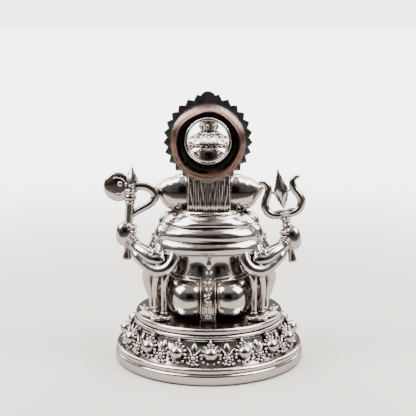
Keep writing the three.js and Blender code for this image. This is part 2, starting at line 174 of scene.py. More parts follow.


# Bright silver plate over a polished casting: mirror-like, with a slight waviness of the cast skin and a few
# duller patches, brown and then black in the recesses: partly patina that the polishing cloth can't reach, and
# partly painted shade.
silver = bpy.data.materials.new("polished_silver_plate")
silver.use_nodes = True
tree = silver.node_tree
tree.nodes.clear()
place = add_node(tree, "ShaderNodeTexCoord").outputs["Object"]
# 5 mm swells, as a hand-finished casting has, and 0.9 mm pits and ripples in them.
swell = add_node(tree, "ShaderNodeTexNoise", {"Vector": place, "Scale": 200, "Detail": 2}).outputs["Fac"]
ripple = add_node(tree, "ShaderNodeTexNoise", {"Vector": place, "Scale": 1100, "Detail": 3}).outputs["Fac"]
# Crevices are read over 0.7 mm, and larger hollows over 3.5 mm; both darken the colour, as patina and as painted shade.
crevice = add_node(tree, "ShaderNodeAmbientOcclusion", {"Distance": 0.0007}, samples=6).outputs["AO"]
hollow = add_node(tree, "ShaderNodeAmbientOcclusion", {"Distance": 0.0035}, samples=6).outputs["AO"]
opened = add_node(tree, "ShaderNodeMath", {0: crevice, 1: hollow}, operation="MULTIPLY").outputs[0]
uneven = add_node(tree, "ShaderNodeMath", {0: ripple, 1: 0.5}, operation="SUBTRACT").outputs[0]
# How open a point is, nudged by ripples: low in the recesses, where the colour takes patina and painted shade.
polish_and_light_reach = add_node(
    tree, "ShaderNodeMath", {0: uneven, 1: 0.35, 2: opened}, operation="MULTIPLY_ADD"
).outputs[0]
# The colour runs from black through brown to silver as a recess opens out: patina and painted shade together.
patina_and_painted_shade = add_node(tree, "ShaderNodeValToRGB", {"Fac": polish_and_light_reach})
patina_and_painted_shade.color_ramp.elements[0].position = 0.16
patina_and_painted_shade.color_ramp.elements[0].color = to_linear(PATINA_AND_SHADE_BLACK)
patina_and_painted_shade.color_ramp.elements[1].position = 0.62
patina_and_painted_shade.color_ramp.elements[1].color = to_linear(SILVER)
for position, colour in ((0.3, PATINA_AND_SHADE_BROWN), (0.44, WARM_SILVER)):
    patina_and_painted_shade.color_ramp.elements.new(position).color = to_linear(colour)
dullness = add_node(tree, "ShaderNodeMapRange", {"Value": swell, 1: 0.35, 2: 0.75, 3: 0.1, 4: 0.2}).outputs[0]
dulled_in_hollows = add_node(tree, "ShaderNodeMapRange", {"Value": polish_and_light_reach, 1: 0.2, 2: 0.55, 3: 0.3, 4: 0.0}).outputs[0]
roughness = add_node(tree, "ShaderNodeMath", {0: dullness, 1: dulled_in_hollows}, operation="ADD").outputs[0]
waves = add_node(tree, "ShaderNodeMath", {0: ripple, 1: 0.12, 2: swell}, operation="MULTIPLY_ADD").outputs[0]
skin = add_node(tree, "ShaderNodeBump", {"Height": waves, "Strength": 0.5, "Distance": 0.0002}).outputs[0]
metal = add_node(
    tree,
    "ShaderNodeBsdfPrincipled",
    {"Base Color": patina_and_painted_shade.outputs["Color"], "Metallic": 1.0, "Roughness": roughness, "Normal": skin},
)
add_node(tree, "ShaderNodeOutputMaterial", {"Surface": metal.outputs[0]})

pedestal = turned(curve_through(PEDESTAL_OUTLINE, 4), PEDESTAL_STEPS)
lean = Matrix.Rotation(FRIEZE_LEAN, 4, "X")


def leaf(foot, tip, width, thick, stand):
    """A pointed leaf that lies from foot to tip, swollen in the middle and with its tip a little raised."""
    shape = ball((0.5, 0, 0), (0.5, width / 2, thick), 8, 8)
    for vert in shape.verts:
        vert.co.y *= math.sin(math.pi * min(1, max(0.02, vert.co.x)) ** 0.75) ** 0.7
        vert.co.z += 0.35 * vert.co.x**2
    run = Vector(tip) - Vector(foot)
    turn = Matrix.Rotation(math.atan2(run.y, run.x), 4, "Z")
    place_it = Matrix.Translation((foot[0], foot[1], stand)) @ turn @ Matrix.Diagonal((run.length, 1, 1, 1))
    bmesh.ops.transform(shape, matrix=place_it, verts=shape.verts)
    return shape


motif = bmesh.new()
put(motif, ball((0, 0, BALL_STAND), (BALL_RADIUS,) * 3, 28, 18))
for angle in PETAL_ANGLES:
    way = Vector((math.cos(math.radians(angle)), math.sin(math.radians(angle))))
    put(motif, leaf(way * 2.1, way * 4.25, 1.35, 0.5, 0.75))
    put(motif, ball((*(way * 2.75), 1.0), (0.42, 0.42, 0.42), 8, 6))
for x, y, z, radius in CUP_BEADS:
    for side in (1, -1):
        put(motif, ball((x * side, y, z), (radius,) * 3, 10, 7))
put(motif, ball((0, 4.3, 1.0), (0.62, 0.95, 0.7), 12, 8))
put(motif, ball((0, 5.2, 1.0), (0.34, 0.8, 0.4), 8, 6))
tuft_middle = math.pi * FRIEZE_RING / FRIEZE_BAYS
put(motif, ball((tuft_middle, -1.3, 0.9), (0.95, 0.85, 0.9), 14, 10))
for k in range(TUFT_BEADS):
    angle = math.tau * (k + 0.5) / TUFT_BEADS
    spot = (tuft_middle + 1.55 * math.cos(angle), -1.3 + 1.35 * math.sin(angle), 0.7)
    put(motif, ball(spot, (0.62, 0.55, 0.6), 8, 6))
for side in (1, -1):
    put(motif, leaf((tuft_middle + 0.5 * side, -2.6), (tuft_middle + 1.9 * side, -4.1), 1.1, 0.4, 0.4))
    put(motif, leaf((tuft_middle + 0.4 * side, -0.4), (tuft_middle + 3 * side, 2.9), 0.85, 0.45, 0.6))
    put(motif, ball((tuft_middle + 2.1 * side, -3.2, 0.4), (0.5, 0.5, 0.5), 8, 6))
put(motif, ball((tuft_middle, -3.7, 0.4), (0.75, 0.6, 0.55), 10, 8))
put(motif, leaf((tuft_middle, 0.1), (tuft_middle, 4.9), 3.1, 0.75, 0.05))
for bay in range(FRIEZE_BAYS):
    turn = Matrix.Rotation(FRIEZE_TURN + math.tau * bay / FRIEZE_BAYS, 4, "Z")
    stand = turn @ Matrix.Translation((0, -FRIEZE_RING, FRIEZE_HEIGHT)) @ lean
    ring_turn = motif.copy()
    for vert in ring_turn.verts:
        bend = vert.co.x / FRIEZE_RING
        out = FRIEZE_RING + 0.9 * vert.co.z - 0.5 * vert.co.y
        vert.co = Vector((out * math.sin(bend) * (1 if vert.co.x else 0), vert.co.y, vert.co.z - 0.87 * out * (1 - math.cos(bend))))
    put(pedestal, ring_turn, stand)
motif.free()
cast("pedestal_and_frieze", pedestal, silver, stands_for="pedestal")

# Seat and lower back
# The seated back of the figure: two rounded, boxy halves of the wrapped cloth, the hips that swell over them,
# and the bare waist with a groove for the spine. Part of the figure's one casting, polished to a mirror.
SEAT_LOBE = (8.2, 8.3, 27.2)
SEAT_LOBE_RADII = (8.5, 12, 8.3)
SEAT_SWEEP = 0.014
WAIST_OUTLINE = [
    (0, 26), (0, 26), (12, 26), (15.6, 29), (17.4, 32), (17.8, 34), (17.4, 35.6), (16.8, 36.8), (16.1, 38.2), (15.7, 39.6),
    (15.5, 41), (15.6, 42.4), (16, 43.8), (16.6, 45.2), (17.4, 47), (17.4, 47), (0, 48), (0, 48),
]
BODY_DEPTH = 0.87
BODY_BACK = 0.4
SPINE_GROOVE = 1.5
FINE_GRAIN = 0.36


def fused(shape, grain, passes):
    """Overlapping closed forms made into one skin, with the soft joints that a casting has."""
    mesh = bpy.data.meshes.new("pattern")
    shape.to_mesh(mesh)
    shape.free()
    pattern = bpy.data.objects.new("pattern", mesh)
    bpy.context.collection.objects.link(pattern)
    skin = pattern.modifiers.new("skin", "REMESH")
    skin.mode = "VOXEL"
    skin.voxel_size = grain
    rub = pattern.modifiers.new("rub", "SMOOTH")
    rub.factor = 0.5
    rub.iterations = passes
    result = bmesh.new()
    result.from_object(pattern, bpy.context.evaluated_depsgraph_get())
    bpy.data.objects.remove(pattern)
    bpy.data.meshes.remove(mesh)
    return result


seat = bmesh.new()
for side in (1, -1):
    lobe = ball((SEAT_LOBE[0] * side, SEAT_LOBE[1], SEAT_LOBE[2]), SEAT_LOBE_RADII, 64, 40, square=0.8)
    for vert in lobe.verts:
        vert.co.y -= SEAT_SWEEP * max(0, abs(vert.co.x) - 5) ** 2
    put(seat, lobe)
put(seat, ball((0, 1.5, 27.6), (16.4, 13, 8), 48, 24))
waist = turned(curve_through(WAIST_OUTLINE, 4), 160)
for vert in waist.verts:
    x, y, z = vert.co
    muscle = 0.75 * math.exp(-(((abs(x) - 5.6) / 3.4) ** 2)) - SPINE_GROOVE * math.exp(-((x / 1.3) ** 2))
    if y > 0:
        y += muscle * math.exp(-(((z - 40) / 4.2) ** 2))
    vert.co.y = BODY_BACK + y * BODY_DEPTH
put(seat, waist)
cast("figure_seat_and_waist", fused(seat, FINE_GRAIN, 12), silver, stands_for="figure")

# Belt and back strip
# A belt of two cords over the hips, and a pointed strip of cloth that hangs from it to the slab. Cast with the
# body; the strip has plain double borders and a chased scroll between them.
BELT_CORDS = [(35.9, 17.3, 0.4), (34.6, 17.8, 0.4)]
BELT_RISE = 0.003
STRIP_MIDDLE = 0.4
STRIP_SIDE = [(20, 19.5), (20.5, 22), (20.6, 26), (20.2, 29.4), (19.1, 32), (17.8, 34), (16.5, 35.8), (15.7, 37.1)]
STRIP_SECTION = [
    (-3.1, -1.4), (-3.1, 0.5), (-2.8, 0.85), (-2.5, 0.5), (-2.35, 0.3), (-2.2, 0.6), (-1.95, 0.6), (-1.8, 0.1),
    (1.8, 0.1), (1.95, 0.6), (2.2, 0.6), (2.35, 0.3), (2.5, 0.5), (2.8, 0.85), (3.1, 0.5), (3.1, -1.4),
]
SCROLLS = 6
SCROLL_RADIUS = 0.3


def drawn(section, stations):
    """A closed section of (across, out) points drawn through a list of frames, capped at both ends."""
    shape = bmesh.new()
    ring = [shape.verts.new(stations[0] @ Vector((x, y, 0))) for x, y in section]
    edges = [shape.edges.new(pair) for pair in zip(ring, ring[1:] + ring[:1])]
    shape.faces.new(ring)
    for here, there in zip(stations, stations[1:]):
        grown = bmesh.ops.extrude_edge_only(shape, edges=edges)["geom"]
        ring = {item for item in grown if isinstance(item, bmesh.types.BMVert)}
        edges = [item for item in grown if isinstance(item, bmesh.types.BMEdge) and ring.issuperset(item.verts)]
        bmesh.ops.transform(shape, matrix=there @ here.inverted(), verts=list(ring))
    bmesh.ops.contextual_create(shape, geom=edges)
    bmesh.ops.recalc_face_normals(shape, faces=shape.faces)
    return shape


def stations_along(line, up=(0, 0, 1)):
    """Frames along a line of (x, y, z, radius) or (x, y, z, width, depth) points, carried without twist."""
    spots = [Vector(point[:3]) for point in line]
    sizes = [(point[3], point[-1]) for point in line]
    frames = []
    side = None
    for i, spot in enumerate(spots):
        ahead = (spots[min(i + 1, len(spots) - 1)] - spots[max(i - 1, 0)]).normalized()
        if side is None:
            side = Vector(up).cross(ahead)
            if side.length < 0.1:
                side = Vector((1, 0, 0)).cross(ahead)
        side = (side - ahead * side.dot(ahead)).normalized()
        out = ahead.cross(side)
        frame_here = Matrix.Translation(spot) @ Matrix((side, out, ahead)).transposed().to_4x4()
        frames.append(frame_here @ Matrix.Diagonal((sizes[i][0], sizes[i][1], 1, 1)))
    return frames


def swept(path, sides=14, steps=5, up=(0, 0, 1), round_ends=True):
    """A tube with round ends through (x, y, z, radius) or (x, y, z, width, depth) points."""
    frames = stations_along(curve_through(path, steps), up)
    if round_ends:
        first, last = frames[0], frames[-1]
        for angle in (25, 50, 70, 86):
            back, shrink = math.sin(math.radians(angle)), math.cos(math.radians(angle))
            for end, sign in ((first, -1), (last, 1)):
                reach = min(end.col[0].length, end.col[1].length) * back * sign
                cap = end @ Matrix.Translation((0, 0, reach)) @ Matrix.Diagonal((shrink, shrink, 1, 1))
                frames.insert(0 if sign < 0 else len(frames), cap)
    circle = [(math.cos(math.tau * k / sides), math.sin(math.tau * k / sides)) for k in range(sides)]
    return drawn(circle, frames)


belt = bmesh.new()
for height, radius, thick in BELT_CORDS:
    cord = turned(
        [(radius + thick * math.cos(a * math.tau / 12), thick * math.sin(a * math.tau / 12)) for a in range(13)],
        144,
    )
    for vert in cord.verts:
        vert.co.z += height + BELT_RISE * vert.co.x**2
        vert.co.y = BODY_BACK + vert.co.y * BODY_DEPTH
    put(belt, cord)
cast("figure_belt", belt, silver)

strip_line = curve_through([(STRIP_MIDDLE, y, z, 1) for y, z in STRIP_SIDE], 6)
strip_frames = []
for i, point in enumerate(strip_line):
    ahead = (strip_line[min(i + 1, len(strip_line) - 1)] - strip_line[max(i - 1, 0)]).to_3d().normalized()
    across = Vector((1, 0, 0))
    out = ahead.cross(across)
    if out.y < 0:
        across, out = -across, -out
    frame_here = Matrix.Translation(point.to_3d()) @ Matrix((across, out, ahead)).transposed().to_4x4()
    left = (len(strip_line) - 1 - i) / 7
    narrow = min(1, 0.05 + left) if left < 1 else 1
    strip_frames.append(frame_here @ Matrix.Diagonal((narrow, 1, 1, 1)))
strip = drawn(STRIP_SECTION, strip_frames)


def on_strip(across, along):
    """A place on the strip's face, across from its middle and along from its foot, both in millimetres."""
    run = 0
    for here, there in zip(strip_frames, strip_frames[1:]):
        gap = (there.translation - here.translation).length
        if run + gap >= along:
            spot = here.translation.lerp(there.translation, (along - run) / gap)
            return spot + here.col[0].to_3d().normalized() * across + here.col[1].to_3d() * 0.2
        run += gap
    return strip_frames[-1].translation


for k in range(SCROLLS):
    middle, hand = 2.1 + k * 2.75, 1 if k % 2 else -1
    curl = []
    for step in range(12):
        turn = step / 11 * 1.55 * math.tau
        reach = 1.25 * (1 - 0.75 * step / 11)
        spot = on_strip(hand * (0.25 + reach * math.cos(turn) - 0.1), middle + reach * math.sin(turn))
        curl.append((*spot, SCROLL_RADIUS))
    put(strip, swept(curl, sides=8, steps=2))
    put(strip, ball(on_strip(-hand * 1.15, middle + 1.3), (0.4, 0.3, 0.55), 8, 6))
cast("figure_back_strip", strip, silver)

# Shawl
# A heavy cloth wrapped round the shoulders in four overlapping rolls, each with a rounded lip over the one
# below it. Cast with the body and polished to a mirror on the crests.
SHAWL_MIDDLE = 1
# The side view of its back, as (depth behind its middle, height); a point given twice is a sharp crease.
SHAWL_BACK = [
    (0, 44.6), (0, 44.6), (13.6, 44.6), (13.6, 44.6), (15.2, 44.7), (15.85, 44.8), (16.05, 45.1), (15.9, 45.45), (15.9, 45.45),
    (16.1, 45.9), (16.4, 46.6), (16.55, 47.3), (16.45, 48), (16.15, 48.7), (15.6, 49.3), (14.9, 49.8), (14.5, 50), (14.5, 50),
    (14.75, 50.2), (14.95, 50.6), (14.95, 50.6), (15.2, 51), (15.45, 51.7), (15.45, 52.4), (15.2, 53.2), (14.8, 53.9), (14.1, 54.6),
    (13.4, 55), (13, 55.2), (13, 55.2), (13.3, 55.5), (13.6, 56), (13.65, 56.6), (13.4, 57.3), (12.85, 58), (12, 58.8), (11.1, 59.5),
    (10.2, 60), (10.2, 60), (10.4, 60.2), (10.5, 60.6), (10.2, 61.1), (9.2, 61.6), (7.6, 62), (7.6, 62), (0, 62.3), (0, 62.3),
]
# How far it reaches to each side at a height, from the outline of the shawl.
SHAWL_SIDES = [(44, 24.6), (46, 24.3), (47.5, 23.4), (49.5, 22.4), (52.5, 21.2), (55, 19.4), (57.5, 16.9), (59.5, 14), (61, 11), (63, 8)]
ROLL_SWAY = 0.16
shawl = turned(curve_through(SHAWL_BACK, 3), 220)
side_line = curve_through(SHAWL_SIDES, 12)
for vert in shawl.verts:
    x, y, z = vert.co
    radius, around = math.hypot(x, y), math.atan2(x, y)
    if radius < 0.01:
        continue
    inside = min(1, radius / 8)
    reach = min(side_line, key=lambda spot: abs(spot[0] - z))[1]
    vert.co.x = math.sin(around) * reach * min(1, radius / (reach * 0.6))
    vert.co.y = SHAWL_MIDDLE + math.cos(around) * radius * (1 if y > 0 else 0.55)
    vert.co.z += inside * ROLL_SWAY * (math.sin(3.1 * around + 0.6 * z) + 0.6 * math.sin(6.7 * around - 1.1 * z)) * min(1, max(0, (z - 44.6) / 2))
cast("figure_shawl", shawl, silver)

# Rear arms
# The two raised arms behind: a plain rounded forearm, the shawl's end looped under it from elbow to wrist,
# bangles at the wrist, an armlet in the crook, and a fist closed round the shaft of the axe or trident.
FOREARM = [(19.6, 11, 42.4, 3.2), (22.2, 10.6, 42.9, 3.2), (25, 9, 44.4, 3.1), (29.2, 6.6, 46.8, 2.5), (31.6, 5, 49.4, 2.5)]
UPPER_ARM = [(17, 5.5, 48, 3), (18.6, 8.6, 45.4, 3.1), (19.6, 10.6, 43, 3.2)]
LOOPED_END = [
    (13.4, 12, 46, 2), (13.9, 13.4, 43, 2.2), (15.2, 13.9, 40.6, 2.4), (17.4, 14, 38.9, 2.5),
    (20, 13.5, 38.4, 2.5), (23, 12.2, 39.3, 2.4), (25.8, 10.5, 41.2, 2.2), (29.6, 7.3, 44.8, 1.5),
]
WRISTS = [(29.2, 6.6, 46.8), (31.6, 5, 49.4)]
# The fist, about a shaft that stands at its origin: middle, width across and height of the closed hand.
FINGER_HEIGHTS = [2.7, 0.9, -0.9, -2.6]
GRIP_RADIUS = 2.7
FINGER_RADIUS = 1.02


def bangle(centre, direction, radius, thick, around=28):
    """A ring round a limb."""
    ring = turned(
        [(radius + thick * math.cos(a * math.tau / 10), thick * math.sin(a * math.tau / 10)) for a in range(11)],
        around,
    )
    turn = Vector(direction).to_track_quat("Z", "Y").to_matrix().to_4x4()
    bmesh.ops.transform(ring, matrix=Matrix.Translation(centre) @ turn, verts=ring.verts)
    return ring


arm = bmesh.new()
put(arm, swept(UPPER_ARM, 24, 6))
put(arm, swept(FOREARM, 28, 6))
put(arm, swept(LOOPED_END, 24, 6))
wrist_way = Vector(WRISTS[1]) - Vector(WRISTS[0])
for share, radius, thick in ((0.3, 2.62, 0.34), (0.52, 2.6, 0.34), (0.74, 2.6, 0.3)):
    put(arm, bangle(Vector(WRISTS[0]) + wrist_way * share, wrist_way, radius, thick))
crook = ball((21.4, 11.8, 44.6), (2.6, 2, 2.4), 28, 20)
for vert in crook.verts:
    vert.co += (vert.co - Vector((21.4, 11.8, 44.6))) * 0.22 * noise.noise(vert.co * 1.4)
put(arm, crook)
for step in range(7):
    put(arm, ball((19 + step * 0.85, 13.4 - step * 0.35, 45.2 + 0.3 * math.sin(step)), (0.5, 0.5, 0.62), 8, 6))

fist = bmesh.new()
put(fist, ball((1.3, 1.1, -0.2), (3.5, 3.2, 4.9), 36, 26, square=0.85))
for height in FINGER_HEIGHTS:
    finger = []
    for step in range(8):
        angle = math.radians(60 + step * 34)
        reach = GRIP_RADIUS + 0.25 * math.sin(step * 1.2)
        finger.append((reach * math.cos(angle), reach * math.sin(angle), height - 0.05 * step, FINGER_RADIUS - 0.03 * step))
    put(fist, swept(finger, 12, 3))
put(fist, swept([(2.4, -1.4, -1.6, 1.2), (1.6, -2.8, 0.6, 1.15), (0.2, -3, 2.6, 1), (-0.8, -2.6, 3.7, 0.85)], 12, 4))

rear_arms = bmesh.new()
mirror = Matrix.Diagonal((-1, 1, 1, 1))
put(rear_arms, arm.copy())
put(rear_arms, arm, mirror)
AXE_FOOT, AXE_LEAN, AXE_HAND = (32.8, 3.6, 40.6), -0.068, 51.5
TRIDENT_FOOT, TRIDENT_LEAN, TRIDENT_HAND = (-33.5, 3.6, 39.6), 0.176, 49.8
for foot, tilt, hand_height, side in ((AXE_FOOT, AXE_LEAN, AXE_HAND, 1), (TRIDENT_FOOT, TRIDENT_LEAN, TRIDENT_HAND, -1)):
    up_shaft = Matrix.Translation(foot) @ Matrix.Rotation(math.atan(tilt), 4, "Y")
    grip = up_shaft @ Matrix.Translation((0, 0, hand_height - foot[2]))
    put(rear_arms, fist.copy(), grip @ Matrix.Diagonal((side, 1, 1, 1)))
fist.free()
cast("figure_rear_arms", rear_arms, silver)

# Hanging ends of the shawl
# From each elbow the cloth falls to the slab in three gathered tubes that end in fringed pads, with a fuller
# fold outside them. Cast with the body.
HANGING_FOLDS = [
    [(16.2, 13.4, 39.6, 2.2), (17.2, 14.6, 36, 1.5), (17.6, 14.8, 31, 1.25), (17.5, 15.2, 25, 1.2), (17.5, 15.6, 20.6, 1.5)],
    [(19.8, 12.6, 39.2, 2.4), (20.6, 12.8, 35.4, 1.5), (21.2, 12.6, 31, 1.25), (20.8, 12.8, 25, 1.2), (20.6, 13.2, 20.6, 1.5)],
    [(22.6, 9.4, 38.6, 3), (23.8, 8, 35, 2.8), (23.6, 7.4, 31, 2.3), (22.4, 8, 26, 1.7), (21.8, 9, 20.8, 1.5)],
    [(23.6, 3, 38, 2.8), (24.2, 2.6, 33, 2.5), (22.8, 3, 27, 2), (21.6, 4, 20.8, 1.6)],
]
FRINGE_PADS = [((18.8, 17.4, 20.5), 14), ((24.2, 12.2, 20.5), -38), ((25.8, 5.4, 20.5), -74)]
hanging = bmesh.new()
for fold in HANGING_FOLDS:
    put(hanging, swept(fold, 20, 6))
    foot = fold[-1]
    put(hanging, bangle((foot[0], foot[1], foot[2] + 1.6), (0, 0, 1), foot[3] * 0.9, 0.36, 20))
for centre, turn in FRINGE_PADS:
    pad = ball((0, 0, 0), (4.1, 1.5, 0.95), 40, 12, square=0.6)
    for vert in pad.verts:
        vert.co.z += 0.22 * math.sin(vert.co.x * math.tau / 1.35) * (1 if vert.co.z > 0 else 0)
        vert.co.y += 0.12 * math.sin(vert.co.x * math.tau / 1.35)
    put(hanging, pad, Matrix.Translation(centre) @ Matrix.Rotation(math.radians(turn), 4, "Z") @ Matrix.Rotation(-0.35, 4, "X"))
both_sides = bmesh.new()
put(both_sides, hanging.copy())
put(both_sides, hanging, mirror)
cast("figure_hanging_ends", both_sides, silver)

# Hair
# A block of fine straight locks that falls from the crown to the shawl, chased one by one in the casting.
STRANDS = 17
HAIR_HALF_WIDTH = 7.6
hair = bmesh.new()
put(hair, ball((0, 4.2, 70.8), (7.8, 6, 10), 40, 30, square=0.62))
for k in range(STRANDS):
    share = -1 + 2 * k / (STRANDS - 1)
    x = HAIR_HALF_WIDTH * share
    y = 10.5 - 1.7 * share**2
    sway = 0.22 * math.sin(k * 2.4)
    lock = [(x * 0.93, y - 0.6, 80, 0.5), (x * 0.97 + sway, y, 75, 0.56), (x - sway, y + 0.1, 70, 0.6),
            (x + sway, y + 0.15, 65.5, 0.62), (x * 1.03, y + 0.1, 62.8, 0.6), (x * 1.05, y - 0.5, 61.5 + 0.25 * math.cos(k * 1.7), 0.45)]
    put(hair, swept(lock, 10, 4))
cast("figure_hair", hair, silver)

# Ears
# Two broad ears, cupped in front and swollen behind, that come to a point at each side. Cast with the head.
EAR_RINGS = [
    (5.5, -0.5, 66.6, 7.6, 4.4), (9.5, -0.8, 66.6, 8, 5), (12.8, -1, 66.8, 7.7, 4.9), (15.4, -1, 67.3, 6.5, 4.4),
    (17.6, -1, 67.9, 5, 3.6), (19.6, -1, 68.3, 3.2, 2.5), (21.1, -1, 68.6, 1.5, 1.3), (21.9, -1, 68.7, 0.35, 0.35),
]
ears = bmesh.new()
ear = swept([(x, y, z, deep, high) for x, y, z, high, deep in EAR_RINGS], 40, 8, up=(0, 0, 1))
for vert in ear.verts:
    if vert.co.y < -1:
        inside = min(1, (-1 - vert.co.y) / 4.7)
        vert.co.y = -1 - 1.5 * (4 * inside * (1 - inside)) ** 0.7 + 2.4 * inside**2
jewel = bangle((12.4, 2.9, 61.6), (0.3, 1, -0.4), 1.7, 0.5)
put(ears, ear.copy())
put(ears, ear, mirror)
put(ears, jewel.copy())
put(ears, jewel, mirror)
cast("figure_ears", ears, silver)

# Head and trunk
# The elephant's head, bare and smooth: two-domed brow, full cheeks, a whole tusk and a short broken one, and
# the trunk that curls to the figure's left over the bowl. Cast in one with the body.
HEAD_FORMS = [
    ((0, -2, 72), (10.4, 11, 10.6)), ((4.2, -7.2, 77), (5.2, 5, 5.2)), ((-4.2, -7.2, 77), (5.2, 5, 5.2)),
    ((5.4, -8.4, 68), (5, 5.6, 5.4)), ((-5.4, -8.4, 68), (5, 5.6, 5.4)), ((0, -1, 61), (9.4, 8.4, 6)),
    ((0, -10.6, 63.2), (3.6, 4, 2.6)),
]
TRUNK = [
    (0, -7, 73, 5.4), (0, -12.6, 70.4, 5.2), (0, -16.4, 66.6, 4.7), (0.1, -19.8, 61, 4), (0.5, -22.8, 55, 3.4),
    (1.6, -25.2, 48.6, 3), (4, -26.2, 43.8, 2.7), (7, -26.5, 41.8, 2.45), (10, -26.2, 42, 2.2), (12, -25.2, 43.8, 2), (12.6, -24.8, 45, 1.9),
]
TRUNK_RING_GAP = 1.7
GRAIN = 0.42


head = bmesh.new()
for centre, radii in HEAD_FORMS:
    put(head, ball(centre, radii, 40, 28))
put(head, swept(TRUNK, 32, 5))
head = fused(head, GRAIN, 9)
trunk_line = [Vector(point[:3]) for point in curve_through(TRUNK, 10)]
trunk_run = [0]
for here, there in zip(trunk_line, trunk_line[1:]):
    trunk_run.append(trunk_run[-1] + (there - here).length)
head.normal_update()
for vert in head.verts:
    if vert.co.y < -14:
        near = min(range(len(trunk_line)), key=lambda i: (trunk_line[i] - vert.co).length_squared)
        front = max(0, (trunk_line[near] - vert.co).y / 4)
        vert.co += vert.normal * 0.2 * min(1, front) * math.cos(trunk_run[near] * math.tau / TRUNK_RING_GAP)
for side in (1, -1):
    put(head, ball((5.9 * side, -12.1, 72.2), (1.75, 1.2, 1.05), 24, 16))
    put(head, ball((6 * side, -13.1, 72.2), (0.6, 0.35, 0.6), 14, 10))
    lid = [(3.9 * side, -12.2, 71.9, 0.25), (5 * side, -13.1, 73, 0.4), (6.6 * side, -12.8, 73.2, 0.4), (8 * side, -11.4, 72.2, 0.25)]
    put(head, swept(lid, 10, 4))
    lower_lid = [(3.9 * side, -12.2, 71.9, 0.2), (5 * side, -13.2, 71.3, 0.3), (6.6 * side, -12.9, 71.2, 0.3), (8 * side, -11.4, 72.2, 0.2)]
    put(head, swept(lower_lid, 10, 4))
    brow = [(3, -12.6, 75, 0.3), (5, -13, 76, 0.45), (7.4, -11.6, 76, 0.4), (9.2, -8.6, 74.6, 0.25)]
    put(head, swept([(x * side, y, z, r) for x, y, z, r in brow], 10, 4))
put(head, swept([(-3, -12, 66.4, 1.45), (-4.4, -16.4, 64, 1.25), (-5.6, -19.6, 63, 0.85), (-6.3, -21.6, 63.6, 0.3)], 16, 5))
put(head, swept([(3, -12, 66.4, 1.45), (4, -15, 64.8, 1.35), (4.4, -16.2, 64.3, 1.25)], 16, 5, round_ends=False))
for side, reach in ((-1, 0.42), (1, 0.5)):
    put(head, bangle((3.7 * side, -14.2, 65.1), (0.35 * side, -0.8, -0.45), 1.45, 0.3, 20))
cast("figure_head", head, silver)

# Crown
# A tall turned crown of four tiers, each edged with beads, and a bud at the top. Cast with the head.
CROWN_OUTLINE = [
    (0, 76), (0, 76), (9.6, 76.4), (10.4, 77.6), (10.75, 78.6), (10.4, 79.6), (10.4, 79.6), (9.9, 79.9), (9.9, 79.9),
    (10.1, 81), (10, 83), (9.6, 84.9), (8.9, 86), (8.9, 86), (8.5, 86.2), (8.5, 86.2), (9.1, 86.8), (9.2, 87.6), (8.7, 88.3),
    (7.6, 89.1), (6, 89.9), (4.7, 90.4), (4, 90.6), (4, 90.6), (3.5, 91), (3.3, 91.8), (3.5, 93.4), (3.8, 95), (3.7, 96.2),
    (2.9, 97), (2.2, 97.4), (2.2, 97.4), (2.1, 97.8), (2.7, 98.6), (2.8, 99.4), (2.2, 100.4), (1, 101.1), (0.8, 101.3),
    (0.8, 101.3), (1.15, 101.9), (0.9, 102.7), (0.25, 103.4), (0, 103.5), (0, 103.5),
]
CROWN_BEADS = [(9.95, 80, 34, 0.5), (8.75, 86.25, 28, 0.55), (4.1, 90.8, 14, 0.5), (3.5, 96.7, 12, 0.42)]
# (radius, height, how many, size, lean back from upright in degrees)
CROWN_LEAVES = [(8.2, 88.4, 16, 1.0, 48), (5.9, 89.7, 12, 0.9, 62), (3.55, 93.4, 9, 0.85, -6)]
CROWN_MIDDLE = -1
crown = turned(curve_through(CROWN_OUTLINE, 3), 96)
for radius, height, count, size in CROWN_BEADS:
    for k in range(count):
        angle = math.tau * (k + 0.5) / count
        put(crown, ball((radius * math.cos(angle), radius * math.sin(angle), height), (size,) * 3, 10, 8))
for radius, height, count, size, lean_back in CROWN_LEAVES:
    for k in range(count):
        turn = Matrix.Rotation(math.tau * k / count, 4, "Z")
        tilt = Matrix.Rotation(-math.radians(lean_back), 4, "Y")
        crown_leaf = ball((0, 0, 0), (0.45, size * 0.75, size * 1.4), 12, 8)
        put(crown, crown_leaf, turn @ Matrix.Translation((radius, 0, height)) @ tilt)
bmesh.ops.translate(crown, vec=(0, CROWN_MIDDLE, 0), verts=crown.verts)
cast("figure_crown", crown, silver)

# Body and front arms
# The front of the figure, plainer than its back: round belly with a small ring on its front, the chest,
# and the two lower arms. Cast with the rest.
BODY_FORMS = [
    ((0, 1, 41), (14.6, 12.4, 15)), ((0, -6.4, 40.4), (15.8, 14.8, 13.4)), ((0, -1.8, 53.6), (14.4, 9.4, 8.6)),
    ((5.6, -7, 54.4), (5.4, 4, 4.4)), ((-5.6, -7, 54.4), (5.4, 4, 4.4)), ((15.4, -1.4, 54.4), (5, 5.2, 5)),
    ((-15.4, -1.4, 54.4), (5, 5.2, 5)),
]
FRONT_UPPER_ARM = [(15.6, -1.6, 54, 3.9), (18.6, -2.6, 49, 3.9), (20.4, -3.4, 44, 3.6), (20.6, -4, 40, 3.3)]
BLESSING_FOREARM = [(-20.6, -4, 40, 3.3), (-21, -8, 39, 3.2), (-20.4, -12, 40, 2.9), (-18.6, -16.2, 42.4, 2.4), (-17.2, -18.2, 44, 2.2)]
OFFERING_FOREARM = [(20.6, -4, 40, 3.3), (20.8, -8, 38.4, 3.2), (19.6, -12.4, 37.4, 2.9), (17.4, -16.4, 36.8, 2.4), (16, -18.4, 36.6, 2.2)]
BOWL_MIDDLE = (14.8, -20.4, 0)
